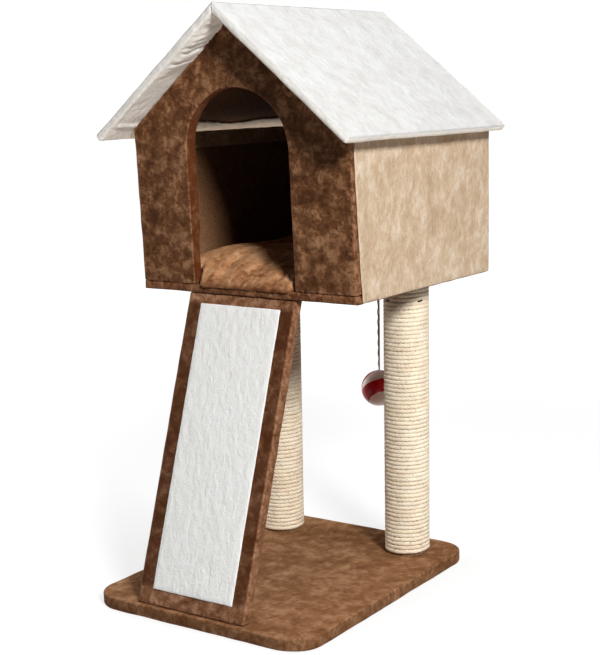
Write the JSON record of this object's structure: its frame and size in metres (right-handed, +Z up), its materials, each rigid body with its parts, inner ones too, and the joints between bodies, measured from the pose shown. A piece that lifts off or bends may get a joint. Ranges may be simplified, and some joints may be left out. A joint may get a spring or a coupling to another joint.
{
  "type": "cat house",
  "caption": "Plush-covered cat house with a gabled roof and arched door, raised on rope-wound posts over a rounded base, with a carpeted ramp, cushion and hanging ball.",
  "frame": {"origin": "on the ground under the middle of the whole object's box", "axes": "+Z up along the posts, +X to the right seen from the door, +Y from the door to the back wall"},
  "size_m": [0.4602, 0.5774, 0.9112],
  "materials": {
    "brown_plush": "short crushed plush pile",
    "beige_plush": "short crushed plush pile",
    "white_plush": "short plush pile",
    "light_carpet": "matt, close-cut pile",
    "chipboard": "raw board",
    "cardboard": "spiral-wound, raw",
    "sisal": "twisted natural fibre",
    "zinc_steel": "zinc plated",
    "elastic_cord": "braided sleeve over rubber",
    "ball_plastic": "glossy"
  },
  "bodies": {
    "stand": {"base_cover": "brown_plush", "ramp_cover": "brown_plush", "floor_cover": "brown_plush", "front_wall_cover": "brown_plush", "left_wall_cover": "beige_plush", "right_wall_cover": "beige_plush", "rear_wall_cover": "beige_plush", "left_roof_cover": "white_plush", "right_roof_cover": "white_plush", "ramp_panel": "light_carpet", "base_board": "chipboard", "ramp_board": "chipboard", "floor_board": "chipboard", "front_wall_board": "chipboard", "left_wall_board": "chipboard", "right_wall_board": "chipboard", "rear_wall_board": "chipboard", "left_roof_board": "chipboard", "right_roof_board": "chipboard", "left_post_foot_plug": "chipboard", "left_post_head_plug": "chipboard", "right_post_foot_plug": "chipboard", "right_post_head_plug": "chipboard", "left_post_tube": "cardboard", "right_post_tube": "cardboard", "left_post_rope": "sisal", "left_post_rope_turns": "sisal", "right_post_rope": "sisal", "right_post_rope_turns": "sisal", "left_post_foot_nut": "zinc_steel", "left_post_head_nut": "zinc_steel", "right_post_foot_nut": "zinc_steel", "right_post_head_nut": "zinc_steel", "left_post_foot_bolt": "zinc_steel", "left_post_head_bolt": "zinc_steel", "right_post_foot_bolt": "zinc_steel", "right_post_head_bolt": "zinc_steel", "ramp_foot_screw_left": "zinc_steel", "ramp_foot_screw_right": "zinc_steel", "ramp_head_screw_left": "zinc_steel", "ramp_head_screw_right": "zinc_steel", "front_wall_foot_screw_left": "zinc_steel", "front_wall_foot_screw_right": "zinc_steel", "left_wall_front_screw": "zinc_steel", "right_wall_front_screw": "zinc_steel", "left_wall_rear_screw": "zinc_steel", "right_wall_rear_screw": "zinc_steel", "left_roof_front_screw": "zinc_steel", "left_roof_rear_screw": "zinc_steel", "right_roof_front_screw": "zinc_steel", "right_roof_rear_screw": "zinc_steel", "toy_staple": "zinc_steel"},
    "cushion": {"cushion": "brown_plush"},
    "toy_loop": {"toy_cord_loop": "elastic_cord", "toy_cord_knot": "elastic_cord"},
    "toy_cord": {"toy_cord": "elastic_cord"},
    "toy_knot": {"toy_ball_knot": "elastic_cord"},
    "toy_ball": {"toy_ball": "ball_plastic"}
  },
  "joints": [
    {"name": "cushion_lift", "type": "slide", "parent": "stand", "child": "cushion", "axis": [0, 0, 1], "range_m": [0, 0.08]},
    {"name": "toy_swing_front", "type": "hinge", "parent": "stand", "child": "toy_loop", "pos_m": [0.02, 0.22375, 0.4724], "axis": [1, 0, 0], "range_deg": [-60, 60]},
    {"name": "toy_swing_side", "type": "hinge", "parent": "toy_loop", "child": "toy_cord", "pos_m": [0.02, 0.22375, 0.4621], "axis": [0, -1, 0], "range_deg": [-35, 35]},
    {"name": "toy_stretch", "type": "slide", "parent": "toy_cord", "child": "toy_knot", "axis": [0, 0, -1], "range_m": [0, 0.06], "stiffness_N_per_m": 50, "springref_m": -0.004, "deforming": ["toy_cord"]},
    {"name": "toy_spin", "type": "hinge", "parent": "toy_knot", "child": "toy_ball", "pos_m": [0.02, 0.22375, 0.271], "axis": [0, 0, 1], "continuous": true}
  ]
}
